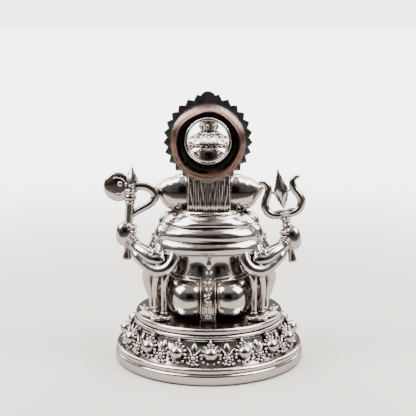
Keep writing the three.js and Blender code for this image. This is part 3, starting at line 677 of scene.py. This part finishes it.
BOWL_OUTLINE = [
    (0, 36.6), (0, 36.6), (2.2, 36.6), (3.4, 37.6), (3.9, 39), (4.2, 39.9), (4.1, 40.2), (3.7, 40), (3.3, 39.4), (0, 39.2), (0, 39.2),
]
SWEETS = [(1.5, 0.4, 39), (-1.3, 0.9, 39), (0, -1.6, 39), (0.1, 0, 40.4)]
torso = bmesh.new()
for centre, radii in BODY_FORMS:
    put(torso, ball(centre, radii, 48, 32))
put(torso, swept(FRONT_UPPER_ARM, 28, 6))
put(torso, swept([(-x, y, z, r) for x, y, z, r in FRONT_UPPER_ARM], 28, 6))
put(torso, swept(BLESSING_FOREARM, 28, 6))
put(torso, swept(OFFERING_FOREARM, 28, 6))
put(torso, ball((-16.4, -18.7, 47.4), (3.7, 1.5, 4), 28, 20, square=0.85))
for k, (x, top) in enumerate([(-19.3, 53), (-17.5, 54.2), (-15.6, 54), (-13.9, 52.8)]):
    put(torso, swept([(x * 0.98, -18.8, 49.4, 0.98), (x, -19, 51.4, 0.95), (x, -19.1, top, 0.85)], 14, 4))
put(torso, swept([(-13.6, -18.8, 45.8, 1.2), (-12, -19.4, 47.4, 1.05), (-11.4, -19.8, 49.2, 0.85)], 14, 4))
put(torso, ball((14.6, -20.4, 35.4), (3.9, 3.7, 1.7), 28, 20, square=0.9))
for k, (x, y) in enumerate([(17.6, -22.6), (15.9, -24.2), (13.8, -24.6), (11.8, -23.4)]):
    middle = Vector((14.6, -20.4, 36.2))
    away = (Vector((x, y, 36.4)) - middle).normalized()
    knuckle, tip = middle + away * 3.6, middle + away * 4.6 + Vector((0, 0, 2))
    put(torso, swept([(*knuckle, 1), (*(middle + away * 4.6 + Vector((0, 0, 0.6))), 0.95), (*tip, 0.8)], 14, 4))
torso = fused(torso, GRAIN, 8)
for side in (1, -1):
    upper = [Vector(point[:3]) for point in FRONT_UPPER_ARM]
    for height, radius, thick in ((0.25, 4.15, 0.5), (0.42, 4.05, 0.4)):
        centre = upper[1].lerp(upper[2], height)
        put(torso, bangle((centre.x * side, centre.y, centre.z), ((upper[2] - upper[1]).x * side, *(upper[2] - upper[1]).yz), radius, thick, 36))
for forearm in (BLESSING_FOREARM, OFFERING_FOREARM):
    low, high = Vector(forearm[3][:3]), Vector(forearm[4][:3])
    for share in (-0.4, 0.1, 0.6):
        put(torso, bangle(low.lerp(high, share), high - low, 2.62 - 0.2 * share, 0.36, 32))
put(torso, bangle((0, -21.3, 39.2), (0, -1, 0), 1.1, 0.4, 24))
# The bowl of sweets.
bowl = turned(curve_through(BOWL_OUTLINE, 3), 48)
put(torso, bowl, Matrix.Translation(BOWL_MIDDLE))
for x, y, z in SWEETS:
    put(torso, turned(curve_through([(0, 0), (0.9, 0.1), (1.3, 0.8), (0.9, 1.6), (0.25, 2.2), (0, 2.3)], 3), 16),
        Matrix.Translation(Vector(BOWL_MIDDLE) + Vector((x, y, z))))
cast("figure_body", torso, silver)

# Legs
# Folded legs under a pleated wrap, one foot in front of the other, with anklets. Cast with the body.
THIGH = [(9, 2, 28, 7), (14.6, -2.6, 28, 7.4), (18.2, -6, 27.6, 6.8), (20.2, -9.4, 27, 5.8)]
SHIN = [(20, -9.6, 26.8, 5.6), (16.4, -14, 25.8, 5), (11, -17.4, 24.8, 4.4), (5.4, -19.8, 24.2, 3.6), (2, -20.8, 24, 3.2)]
FOOT = [(4, -20.4, 24, 2.9), (0, -21.8, 23.8, 2.7), (-4.4, -22.4, 23.6, 2.5), (-8.6, -21.8, 23.4, 2.3)]
legs = bmesh.new()
for side in (1, -1):
    put(legs, swept([(x * side, y, z, r) for x, y, z, r in THIGH], 32, 6))
    put(legs, swept([(x * side, y, z, r) for x, y, z, r in SHIN], 32, 6))
    put(legs, ball((20.2 * side, -2.4, 30.6), (6.2, 9.6, 8.6), 40, 28))
put(legs, ball((0, -6, 24.6), (18, 14, 4.6), 48, 24))
put(legs, swept([(x, y - 0.6, z - 1.2, r) for x, y, z, r in FOOT], 24, 6))
put(legs, swept([(-x, y + 1.6, z + 0.4, r) for x, y, z, r in FOOT], 24, 6))
legs = fused(legs, GRAIN, 8)
legs.normal_update()
for vert in legs.verts:
    x, y, z = vert.co
    if 3.5 < abs(x) and y < -3 and z > 21.5:
        pleat = 0.22 * math.cos(math.tau * (math.hypot(abs(x) - 21, y + 4) + 0.3 * (z - 26)) / 2.3)
        vert.co += vert.normal * pleat * min(1, (abs(x) - 3.5) / 3)
for k in range(5):
    put(legs, ball((-9.4 - 0.9 * math.sin(k * 0.8), -24.6 + k * 1.05, 23.4 - 0.5), (1.1, 0.7, 0.95 - 0.07 * k), 14, 10))
    put(legs, ball((9.4 + 0.9 * math.sin(k * 0.8), -22.4 + k * 1.05, 24.4), (1.1, 0.7, 0.95 - 0.07 * k), 14, 10))
for side in (1, -1):
    put(legs, bangle((3.2 * side, -20.9, 24.1), (1, 0.35 * side, 0), 3.5, 0.42, 32))
cast("figure_legs", legs, silver)

# Halo
# A dished disc with a toothed edge and an open collar in the middle, cast apart and soldered behind the
# crown. Its back was never polished: grey, and coppery where the plate is thin, with its channel painted black as a
# dark reflection.
HALO_MIDDLE = (0.4, 89.9)
HALO_SECTION = [
    (8.6, 11.4), (8.6, 11.4), (14.2, 11.4), (14.2, 11.4), (15.6, 11.5), (15.6, 11.5), (15.7, 11.9), (15.6, 12.3), (15.6, 12.3),
    (15, 12.45), (14.4, 12.6), (14.4, 12.6), (13.4, 13.7), (12.7, 14.9), (12.3, 15.5), (11.9, 15.5), (11.6, 15),
    (11.2, 14.1), (10.4, 13.5), (9.4, 13.3), (8.6, 13.3), (8.6, 13.3), (8.6, 11.4), (8.6, 11.4),
]
COLLAR_SECTION = [
    (7.8, 10.4), (7.8, 10.4), (8.8, 10.4), (8.8, 10.4), (8.8, 16.6), (8.9, 17.1), (8.85, 17.45), (8.6, 17.6), (8.4, 17.4), (8.3, 17.25),
    (8.2, 17.4), (8.05, 17.5), (7.9, 17.35), (7.8, 16.9), (7.8, 10.4), (7.8, 10.4),
]
HALO_TEETH = 27
TOOTH_LENGTH = 1.5
CREST_SAG = 1.4
halo = turned(curve_through(HALO_SECTION, 3), HALO_TEETH * 16)
for vert in halo.verts:
    x, y, z = vert.co
    radius, angle = math.hypot(x, y), math.atan2(y, x)
    edge = max(0, min(1, (radius - 14.3) / 1.2))
    phase = (angle - math.pi / 2) / math.tau * HALO_TEETH
    wave = 1 - 2 * abs(phase - math.floor(phase) - 0.5)
    tooth = TOOTH_LENGTH * (1 - wave)
    from_top = abs(angle - math.pi / 2)
    from_foot = abs(angle + math.pi / 2)
    if from_top < 0.17:
        tooth = 1.5 * math.sqrt(1 - (from_top / 0.17) ** 2) + 0.1
    if from_foot < 0.17:
        tooth = 1.2 * math.sqrt(1 - (from_foot / 0.17) ** 2) + 0.1
    tooth += 1.3 * math.exp(-((from_top / 0.27) ** 2))
    out = 1 + edge * tooth / radius
    sag = CREST_SAG * math.exp(-(((radius - 12.6) / 2.1) ** 2))
    ripple_out = 0.25 * math.sin(angle * 5 + 1) * math.exp(-(((radius - 12.6) / 1.6) ** 2))
    flat_x = x * (out + ripple_out / radius)
    flat_y = y * (out + ripple_out / radius) - sag
    vert.co = (HALO_MIDDLE[0] - flat_x, z, HALO_MIDDLE[1] + flat_y)
bmesh.ops.recalc_face_normals(halo, faces=halo.faces)

# Silver plate left unpolished on the back of the disc: a soft grey shine, worn to the copper under it along
# the crest. The channel is painted black as a dark reflection, and painted shade blackens the hollows.
TARNISH_GREY = "#7F7A78"
TARNISH_PALE = "#8E7C75"
# Black for the channel, painted as a dark reflection, and for the hollows, painted as shade.
SHADE_AND_DARK_REFLECTION_BLACK = "#2A2726"
COPPER_BLUSH = "#87665B"
tarnished = bpy.data.materials.new("tarnished_silver_plate")
tarnished.use_nodes = True
tree = tarnished.node_tree
tree.nodes.clear()
place = add_node(tree, "ShaderNodeTexCoord").outputs["Object"]
cloud = add_node(tree, "ShaderNodeTexNoise", {"Vector": place, "Scale": 160, "Detail": 3}).outputs["Fac"]
speck = add_node(tree, "ShaderNodeTexNoise", {"Vector": place, "Scale": 1300, "Detail": 2}).outputs["Fac"]
hollow = add_node(tree, "ShaderNodeAmbientOcclusion", {"Distance": 0.0045}, samples=6).outputs["AO"]
centred = add_node(
    tree, "ShaderNodeMapping", {"Vector": place, "Location": (-0.0004, 0, -0.0885), "Scale": (1, 0, 1)}
).outputs[0]
radius = add_node(tree, "ShaderNodeVectorMath", {0: centred}, operation="LENGTH").outputs["Value"]
jittered_radius = add_node(tree, "ShaderNodeMath", {0: cloud, 1: 0.004, 2: radius}, operation="MULTIPLY_ADD").outputs[0]
zones = add_node(tree, "ShaderNodeMapRange", {"Value": jittered_radius, 1: 0.01, 2: 0.02}).outputs[0]
# Black in the channel is a painted dark reflection; the copper blush at the crest and the grey beyond are the plate's
# own colours.
painted_channel_copper_and_grey = add_node(tree, "ShaderNodeValToRGB", {"Fac": zones})
painted_channel_copper_and_grey.color_ramp.elements[0].position = 0.05
painted_channel_copper_and_grey.color_ramp.elements[0].color = to_linear(SHADE_AND_DARK_REFLECTION_BLACK)
painted_channel_copper_and_grey.color_ramp.elements[1].position = 0.7
painted_channel_copper_and_grey.color_ramp.elements[1].color = to_linear(TARNISH_GREY)
for position, colour in ((0.3, SHADE_AND_DARK_REFLECTION_BLACK), (0.38, COPPER_BLUSH), (0.5, COPPER_BLUSH)):
    painted_channel_copper_and_grey.color_ramp.elements.new(position).color = to_linear(colour)
# Painted shade: the hollows are mixed towards black.
shade = add_node(tree, "ShaderNodeMapRange", {"Value": hollow, 1: 0.25, 2: 0.75, 3: 1, 4: 0}).outputs[0]
colour = add_node(
    tree, "ShaderNodeMix", {0: shade, 6: painted_channel_copper_and_grey.outputs["Color"], 7: to_linear(SHADE_AND_DARK_REFLECTION_BLACK)}, data_type="RGBA"
).outputs[2]
roughness = add_node(tree, "ShaderNodeMapRange", {"Value": cloud, 1: 0.3, 2: 0.7, 3: 0.28, 4: 0.42}).outputs[0]
skin = add_node(tree, "ShaderNodeBump", {"Height": speck, "Strength": 0.4, "Distance": 0.0002}).outputs[0]
metal = add_node(
    tree, "ShaderNodeBsdfPrincipled", {"Base Color": colour, "Metallic": 1.0, "Roughness": roughness, "Normal": skin}
)
add_node(tree, "ShaderNodeOutputMaterial", {"Surface": metal.outputs[0]})
cast("halo_disc", halo, tarnished, stands_for="halo")
collar = turned(curve_through(COLLAR_SECTION, 3), 128)
for vert in collar.verts:
    x, y, z = vert.co
    vert.co = (HALO_MIDDLE[0] - x, z, HALO_MIDDLE[1] + y)
bmesh.ops.recalc_face_normals(collar, faces=collar.faces)
cast("halo_collar", collar, silver)

# Axe
# The axe in the left fist: a round blade, a spear point and a curved hook on one shaft, cast apart and
# passed through the closed hand.
SHAFT_SECTION = [
    (0, 1.6), (1.1, 1.6), (1.1, 1.6), (1.15, 0.2), (1.45, 0), (1.8, 0.3), (1.85, 1), (1.85, 1), (1.7, 1.5), (1.7, 9),
    (1.75, 16), (1.75, 22.8), (1.75, 22.8), (2.1, 23.1), (2.15, 23.7), (1.8, 24.1), (1.8, 24.1), (2.3, 24.6),
    (2.45, 25.6), (2.1, 26.4), (1.9, 26.7), (1.9, 26.7), (2.5, 27.4), (2.6, 28.2), (2.2, 28.9), (0, 29.2),
]
axe = turned(curve_through(SHAFT_SECTION, 3), 40)
spear = bmesh.new()
bmesh.ops.create_cone(spear, cap_ends=True, segments=4, radius1=3.3, radius2=0.12, depth=9.4)
bmesh.ops.subdivide_edges(spear, edges=[e for e in spear.edges if abs(e.verts[0].co.z - e.verts[1].co.z) > 5], cuts=6)
for vert in spear.verts:
    rise = (vert.co.z + 4.7) / 9.4
    swell_out = 1 + 0.42 * math.sin(math.pi * min(1, rise * 1.05))
    foot_in = 0.55 + 0.45 * min(1, rise / 0.12)
    vert.co.x *= swell_out * foot_in
    vert.co.y *= swell_out * foot_in * 0.75
bmesh.ops.bevel(spear, geom=[e for e in spear.edges if len(e.link_faces) == 2 and e.calc_face_angle(0) > 0.6], offset=0.16, affect="EDGES", segments=2, profile=0.5, material=-1)
bmesh.ops.translate(spear, vec=(0, 0, 33.4), verts=spear.verts)
put(axe, spear)
put(axe, ball((5, 0, 29.2), (5.8, 1.55, 5.9), 48, 32))
put(axe, bangle((5.2, 1.1, 29.6), (0.1, 1, 0), 3.4, 0.28, 36))
put(axe, ball((4.2, 1.35, 30.6), (1.1, 0.8, 1.1), 18, 12))
put(axe, ball((4.6, 1.3, 26.2), (0.9, 0.7, 0.9), 16, 12))
hook = [
    (0.6, 0, 29.6, 1.2, 1.5), (-3, -0.1, 30, 1.3, 1.7), (-6.4, -0.4, 29.8, 1.4, 1.8), (-8.8, -0.6, 28.4, 1.5, 1.8), (-9.8, -0.8, 26.4, 1.5, 1.7),
    (-8.6, -0.7, 23.8, 1.4, 1.6), (-5.8, -0.4, 21.6, 1.3, 1.5), (-3, -0.2, 19.8, 1.2, 1.4), (-0.8, 0, 18, 1.1, 1.2),
]
put(axe, swept(hook, 20, 6))
for k in range(9):
    angle = math.tau * k / 9
    put(axe, ball((2.35 * math.cos(angle), 2.35 * math.sin(angle), 28), (0.62, 0.62, 0.62), 10, 8))
for x, y, z, size in ((-2.2, 1.1, 28.9, 0.75), (-2.6, 0.8, 31.2, 0.6), (1.8, 1.7, 30.6, 0.7), (-1, 1.9, 29.6, 0.7)):
    put(axe, ball((x, y, z), (size,) * 3, 12, 8))
bmesh.ops.transform(axe, matrix=Matrix.Translation(AXE_FOOT) @ Matrix.Rotation(math.atan(AXE_LEAN), 4, "Y"), verts=axe.verts)
cast("axe_in_hand", axe, silver, stands_for="axe")

# Trident
# The trident in the right fist: a ridged middle blade between two curled prongs, tied by short stays over a
# beaded knot, on a shaft. Cast apart and passed through the closed hand.
TRIDENT_SHAFT = [
    (0, 1.5), (1, 1.5), (1, 1.5), (1.05, 0.2), (1.35, 0), (1.65, 0.3), (1.7, 1), (1.7, 1), (1.6, 1.5), (1.6, 8), (1.6, 14.6),
    (1.6, 14.6), (1.95, 15), (2, 15.6), (1.65, 16), (1.65, 16), (1.75, 17.4), (1.75, 17.4), (2.3, 17.9), (2.35, 18.5),
    (1.8, 18.9), (1.8, 18.9), (2.1, 19.6), (2.2, 20.4), (1.6, 21.2), (0, 21.6),
]
trident = turned(curve_through(TRIDENT_SHAFT, 3), 36)
blade = bmesh.new()
bmesh.ops.create_cone(blade, cap_ends=True, segments=4, radius1=0.4, radius2=0.12, depth=16)
bmesh.ops.subdivide_edges(blade, edges=[e for e in blade.edges if abs(e.verts[0].co.z - e.verts[1].co.z) > 5], cuts=15)
for vert in blade.verts:
    rise = (vert.co.z + 8) / 16
    wide = curve_through([(0, 0.5), (0.2, 2), (0.42, 3.2), (0.42, 3.2), (0.7, 1.7), (1, 0.12)], 8)
    width = min(wide, key=lambda spot: abs(spot[0] - rise))[1]
    flat = Vector((vert.co.x, vert.co.y)).normalized()
    vert.co.x, vert.co.y = flat.x * width, flat.y * (0.25 + width * 0.36)
bmesh.ops.bevel(blade, geom=[e for e in blade.edges if len(e.link_faces) == 2 and e.calc_face_angle(0) > 0.7], offset=0.12, affect="EDGES", segments=2, profile=0.5, material=-1)
bmesh.ops.translate(blade, vec=(0, 0, 30.2), verts=blade.verts)
put(trident, blade)
PRONG = [
    (0, 0.2, 19.7, 1.3), (2.4, 0.2, 19.6, 1.45), (4.8, 0.1, 20.2, 1.6), (6.6, 0, 21.8, 1.7), (7.3, 0, 24, 1.7), (6.6, 0, 26.6, 1.6),
    (5.3, 0, 29, 1.5), (4.8, 0, 31, 1.4), (5.2, 0, 32.6, 1.25), (6.4, 0, 33.6, 1), (7.6, 0, 33.8, 0.75),
]
put(trident, swept(PRONG, 20, 6))
put(trident, swept([(-x, y, z, r) for x, y, z, r in PRONG], 20, 6))
for side in (1, -1):
    put(trident, swept([(2.4 * side, 0, 28.6, 0.6), (3.8 * side, 0.1, 29.2, 0.5), (5.2 * side, 0, 29.6, 0.6)], 12, 4))
    put(trident, swept([(0.6 * side, 0.9, 21.2, 0.5), (2.4 * side, 1, 21.6, 0.5), (4.6 * side, 0.8, 21.2, 0.45)], 12, 4))
for k in range(8):
    angle = math.tau * k / 8
    put(trident, ball((2.1 * math.cos(angle), 2.1 * math.sin(angle), 20.3), (0.62,) * 3, 10, 8))
put(trident, ball((0, 1.7, 21.4), (0.9, 0.8, 0.9), 14, 10))
bmesh.ops.transform(trident, matrix=Matrix.Translation(TRIDENT_FOOT) @ Matrix.Rotation(math.atan(TRIDENT_LEAN), 4, "Y"), verts=trident.verts)
cast("trident_in_hand", trident, silver, stands_for="trident")

# Floor
# A plain pale studio sweep under the figurine.
FLOOR_COLOUR = "#DCD5CC"
BACKDROP = 5.5
floor_shape = bmesh.new()
bmesh.ops.create_circle(floor_shape, cap_ends=True, radius=6, segments=96)
floor_mesh = bpy.data.meshes.new("floor")
floor_shape.to_mesh(floor_mesh)
floor_shape.free()
floor = bpy.data.objects.new("floor", floor_mesh)
bpy.context.collection.objects.link(floor)
floor_paint = bpy.data.materials.new("matt_studio_floor")
floor_paint.use_nodes = True
tree = floor_paint.node_tree
tree.nodes.clear()
spot = add_node(tree, "ShaderNodeTexCoord").outputs["Object"]
far = add_node(tree, "ShaderNodeVectorMath", {0: spot}, operation="LENGTH").outputs["Value"]
seen = add_node(tree, "ShaderNodeLightPath").outputs["Is Camera Ray"]
apart = add_node(tree, "ShaderNodeSeparateXYZ", {"Vector": spot})
before = add_node(tree, "ShaderNodeMapRange", {"Value": apart.outputs["Y"], 1: 0.13, 2: 0.15, 3: 0.62, 4: 0.05}).outputs[0]
kept = add_node(tree, "ShaderNodeMix", {0: seen, 2: before, 3: 1.0}).outputs[0]
matt = add_node(tree, "ShaderNodeBsdfDiffuse", {"Color": to_linear(FLOOR_COLOUR)})
dark_edge = add_node(tree, "ShaderNodeBsdfDiffuse", {"Color": (0, 0, 0, 1)})
under = add_node(tree, "ShaderNodeMixShader", {0: kept, 1: dark_edge.outputs[0], 2: matt.outputs[0]})
glow = add_node(tree, "ShaderNodeEmission", {"Color": (1, 1, 1, 1), "Strength": BACKDROP})
fade = add_node(tree, "ShaderNodeMapRange", {"Value": far, 1: 0.12, 2: 0.5, 3: 0, 4: 1}, interpolation_type="SMOOTHSTEP").outputs[0]
fade = add_node(tree, "ShaderNodeMath", {0: fade, 1: seen}, operation="MULTIPLY").outputs[0]
sweep = add_node(tree, "ShaderNodeMixShader", {0: fade, 1: under.outputs[0], 2: glow.outputs[0]})
add_node(tree, "ShaderNodeOutputMaterial", {"Surface": sweep.outputs[0]})
floor_mesh.materials.append(floor_paint)

# Studio
# A pale light tent that is open towards the camera, with soft boxes high on both sides and a low one in
# front, so that the metal has something light and something dark to show.
TENT = 0.3
OPENING_GREY = 0.14
OPENING_BLACK = 0.005
world = bpy.data.worlds.new("light_tent")
bpy.context.scene.world = world
world.use_nodes = True
tree = world.node_tree
tree.nodes.clear()
look = add_node(tree, "ShaderNodeTexCoord").outputs["Generated"]
axes = add_node(tree, "ShaderNodeSeparateXYZ", {"Vector": look})
# The opening is 55 degrees to each side of the camera and reaches 48 degrees up.
towards = add_node(tree, "ShaderNodeMath", {0: axes.outputs["X"], 1: axes.outputs["Y"]}, operation="ARCTAN2").outputs[0]
aside = add_node(tree, "ShaderNodeMath", {0: towards}, operation="ABSOLUTE").outputs[0]
in_width = add_node(tree, "ShaderNodeMapRange", {"Value": aside, 1: 0.92, 2: 1.0, 3: 1, 4: 0}).outputs[0]
in_height = add_node(tree, "ShaderNodeMapRange", {"Value": axes.outputs["Z"], 1: 0.6, 2: 0.68, 3: 1, 4: 0}).outputs[0]
opening = add_node(tree, "ShaderNodeMath", {0: in_width, 1: in_height}, operation="MULTIPLY").outputs[0]
to_camera = add_node(
    tree, "ShaderNodeVectorMath", {0: look, 1: Vector((0, 0.98, 0.19))}, operation="DOT_PRODUCT"
).outputs["Value"]
dark_spot = add_node(tree, "ShaderNodeMapRange", {"Value": to_camera, 1: 0.9, 2: 0.97, 3: 0, 4: 1}).outputs[0]
low_band = add_node(tree, "ShaderNodeMapRange", {"Value": axes.outputs["Z"], 1: 0.02, 2: 0.1, 3: 1, 4: 0}).outputs[0]
dark = add_node(tree, "ShaderNodeMath", {0: dark_spot, 1: low_band}, operation="MAXIMUM").outputs[0]
grey = add_node(
    tree, "ShaderNodeMapRange", {"Value": dark, 1: 0, 2: 1, 3: OPENING_GREY, 4: OPENING_BLACK}
).outputs[0]
walls = add_node(tree, "ShaderNodeMapRange", {"Value": axes.outputs["Z"], 1: 0, 2: 1, 3: TENT * 0.5, 4: TENT * 2}).outputs[0]
tent = add_node(tree, "ShaderNodeMix", {0: opening, 2: walls, 3: grey}).outputs[0]
seen = add_node(tree, "ShaderNodeLightPath").outputs["Is Camera Ray"]
strength = add_node(tree, "ShaderNodeMix", {0: seen, 2: tent, 3: BACKDROP}).outputs[0]
light = add_node(tree, "ShaderNodeBackground", {"Strength": strength})
add_node(tree, "ShaderNodeOutputWorld", {"Surface": light.outputs[0]})

# name, (azimuth from the camera's side towards +X, height angle), distance, width, height, watts
SOFT_BOXES = [
    ("soft_box_left", (75, 45), 0.9, 0.55, 0.7, 14),
    ("soft_box_right", (-75, 45), 0.9, 0.55, 0.7, 14),
    ("soft_box_top", (180, 72), 1.0, 0.9, 0.5, 12),
    ("soft_box_front_left", (140, 30), 1.1, 0.5, 0.7, 8),
    ("soft_box_front_right", (-140, 30), 1.1, 0.5, 0.7, 8),
]
AIM = Vector((0, 0, 0.05))
for name, (azimuth, rise), distance, width, height, watts in SOFT_BOXES:
    lamp = bpy.data.lights.new(name, "AREA")
    lamp.shape = "RECTANGLE"
    lamp.size = width
    lamp.size_y = height
    lamp.energy = watts
    box = bpy.data.objects.new(name, lamp)
    across, upward = math.radians(azimuth), math.radians(rise)
    away = Vector((math.sin(across) * math.cos(upward), math.cos(across) * math.cos(upward), math.sin(upward)))
    box.location = AIM + away * distance
    box.rotation_euler = away.to_track_quat("Z", "Y").to_euler()
    box.visible_camera = False
    bpy.context.collection.objects.link(box)

# Camera
# Behind the figurine and a little above it, as the photograph was taken.
lens = bpy.data.cameras.new("camera")
lens.lens = 88.35
lens.clip_start = 0.01
camera = bpy.data.objects.new("camera", lens)
camera.location = (0.0004, 0.4, 0.14)
camera.rotation_euler = (math.radians(90 - 11.2), 0, math.pi)
bpy.context.collection.objects.link(camera)
bpy.context.scene.camera = camera
